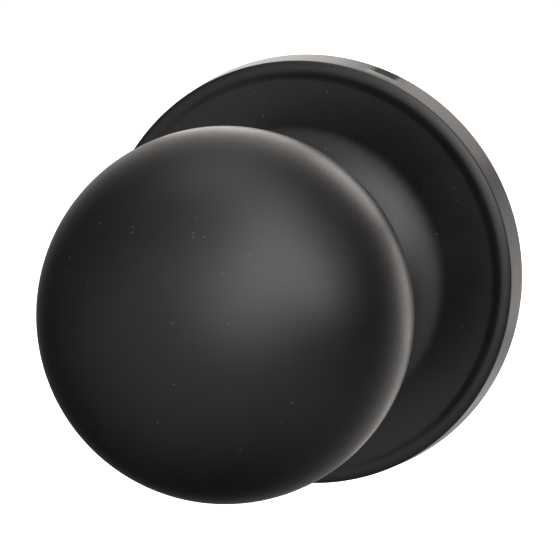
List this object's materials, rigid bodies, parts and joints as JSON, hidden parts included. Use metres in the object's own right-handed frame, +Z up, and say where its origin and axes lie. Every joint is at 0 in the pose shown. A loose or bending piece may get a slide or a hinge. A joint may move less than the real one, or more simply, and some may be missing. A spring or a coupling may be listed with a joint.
{
  "type": "door knob",
  "caption": "Ball-shaped passage door knob on a round rose, satin black, with sprung chassis, square spindle and threaded through-door posts.",
  "frame": {"origin": "centre of the knob axis on the door face, where the rose's bore ring starts", "axes": "knob axis along Y, the knob faces -Y and the chassis goes into the door at +Y; +Z up"},
  "size_m": [0.0666, 0.1269, 0.0666],
  "materials": {
    "black_finish": "satin black baked coating on brass and pressed steel",
    "zinc_plated_steel": "bright zinc plate with a faint yellow cast",
    "post_steel": "turned steel, zinc plated",
    "cage_zinc": "die-cast zinc, matt",
    "screw_steel": "zinc plated",
    "spring_steel": "oil-tempered blue-grey",
    "nylon": "natural nylon",
    "shank_steel": "turned steel",
    "cam_steel": "stamped steel",
    "spindle_steel": "cold-drawn bar, zinc plated",
    "washer_brass": "stamped brass"
  },
  "bodies": {
    "rose": {"rose_cover": "black_finish", "rose_base_plate": "zinc_plated_steel", "cover_clips": "spring_steel", "clip_rivets": "zinc_plated_steel", "mounting_post_left": "post_steel", "mounting_post_right": "post_steel", "spring_cage": "cage_zinc", "cage_screws": "screw_steel", "return_spring": "spring_steel", "bearing_bush": "nylon"},
    "knob": {"knob_shell": "black_finish", "knob_neck": "black_finish", "knob_liner": "zinc_plated_steel", "knob_shank": "shank_steel", "drive_cam": "cam_steel", "spindle": "spindle_steel", "spindle_pin": "shank_steel", "retaining_ring": "spring_steel", "thrust_washer": "washer_brass", "spring_washer": "spring_steel"}
  },
  "joints": [
    {"name": "knob_turn", "type": "hinge", "parent": "rose", "child": "knob", "pos_m": [0, 0, 0], "axis": [0, 1, 0], "range_deg": [-60, 60], "stiffness_Nm_per_rad": 0.25, "deforming": ["return_spring"]}
  ]
}
